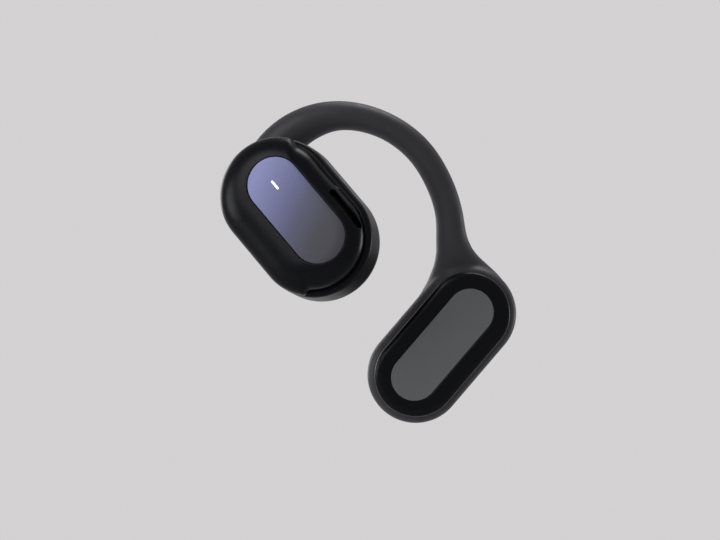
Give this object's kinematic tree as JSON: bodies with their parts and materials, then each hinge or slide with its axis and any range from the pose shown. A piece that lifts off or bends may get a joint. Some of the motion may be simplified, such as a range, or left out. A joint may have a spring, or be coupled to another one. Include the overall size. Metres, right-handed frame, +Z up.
{
  "type": "open-ear hook earphone",
  "caption": "Left open-ear earphone: a tilted speaker pod with a flat touch lens and a battery pod behind the ear, joined by a sprung hook.",
  "frame": {"origin": "middle of the hook's arc, where the root of the ear sits", "axes": "+Z up as worn, +Y towards the wearer's head, -X towards the wearer's face"},
  "size_m": [0.0509, 0.0289, 0.0559],
  "materials": {
    "satin_shell": "satin moulded plastic, fine grain",
    "gloss_cap": "piano black gloss",
    "hook_skin": "matte soft-touch silicone",
    "seal_rubber": "matte",
    "tinted_lens": "smoked lens, violet fading to grey",
    "grey_panel": "satin grey panel",
    "light_guide": "clear, lit white",
    "led_package": "white package",
    "copper_film": "bare copper",
    "circuit_board": "solder mask",
    "chip_plastic": "moulded package",
    "connector_plastic": "moulded",
    "gold_plate": "gold plated",
    "inner_plastic": "moulded",
    "bright_steel": "plated",
    "dark_mesh": "black woven mesh",
    "magnet_plate": "nickel plated",
    "foam": "closed-cell foam",
    "wire_metal": "springy alloy wire",
    "cone_film": "metallised film",
    "battery_foil": "satin foil wrap"
  },
  "bodies": {
    "speaker_pod": {"front_shell": "satin_shell", "front_cap": "gloss_cap", "front_seal": "seal_rubber", "touch_lens": "tinted_lens", "light_guide": "light_guide", "status_led": "led_package", "touch_film": "copper_film", "main_board": "circuit_board", "bluetooth_chip": "chip_plastic", "power_chip": "chip_plastic", "flex_connector": "connector_plastic", "antenna": "gold_plate", "inner_frame": "inner_plastic", "call_microphone": "bright_steel", "vent_mesh": "dark_mesh", "driver_frame": "inner_plastic", "driver_yoke": "bright_steel", "driver_magnet": "magnet_plate", "driver_top_plate": "bright_steel", "surround": "seal_rubber", "driver_gasket": "foam", "outlet_grille": "dark_mesh", "hook_root_ferrule": "bright_steel", "hook_front_sleeve": "hook_skin", "hook_flex_sleeve": "hook_skin", "memory_wire": "wire_metal", "flex_cable": "copper_film"},
    "cone": {"voice_coil": "copper_film", "diaphragm": "cone_film"},
    "battery_pod": {"hook_rear_sleeve": "hook_skin", "hook_end_plug": "inner_plastic", "rear_shell": "satin_shell", "rear_cap": "gloss_cap", "rear_seal": "seal_rubber", "rear_panel": "grey_panel", "battery_cell": "battery_foil", "battery_foam": "foam", "protection_board": "circuit_board", "charging_contacts": "gold_plate", "contact_holder": "inner_plastic", "case_magnets": "magnet_plate"}
  },
  "joints": [
    {"name": "hook_flex", "type": "hinge", "parent": "speaker_pod", "child": "battery_pod", "pos_m": [0.00358, 0.0056, 0.02032], "axis": [0, -1, 0], "range_deg": [-4, 14], "stiffness_Nm_per_rad": 0.1, "deforming": ["hook_flex_sleeve", "memory_wire", "flex_cable"]},
    {"name": "cone_stroke", "type": "slide", "parent": "speaker_pod", "child": "cone", "axis": [-0.2699, -0.9511, 0.1504], "range_m": [-0.00025, 0.00025], "stiffness_N_per_m": 200, "deforming": ["surround"]}
  ]
}
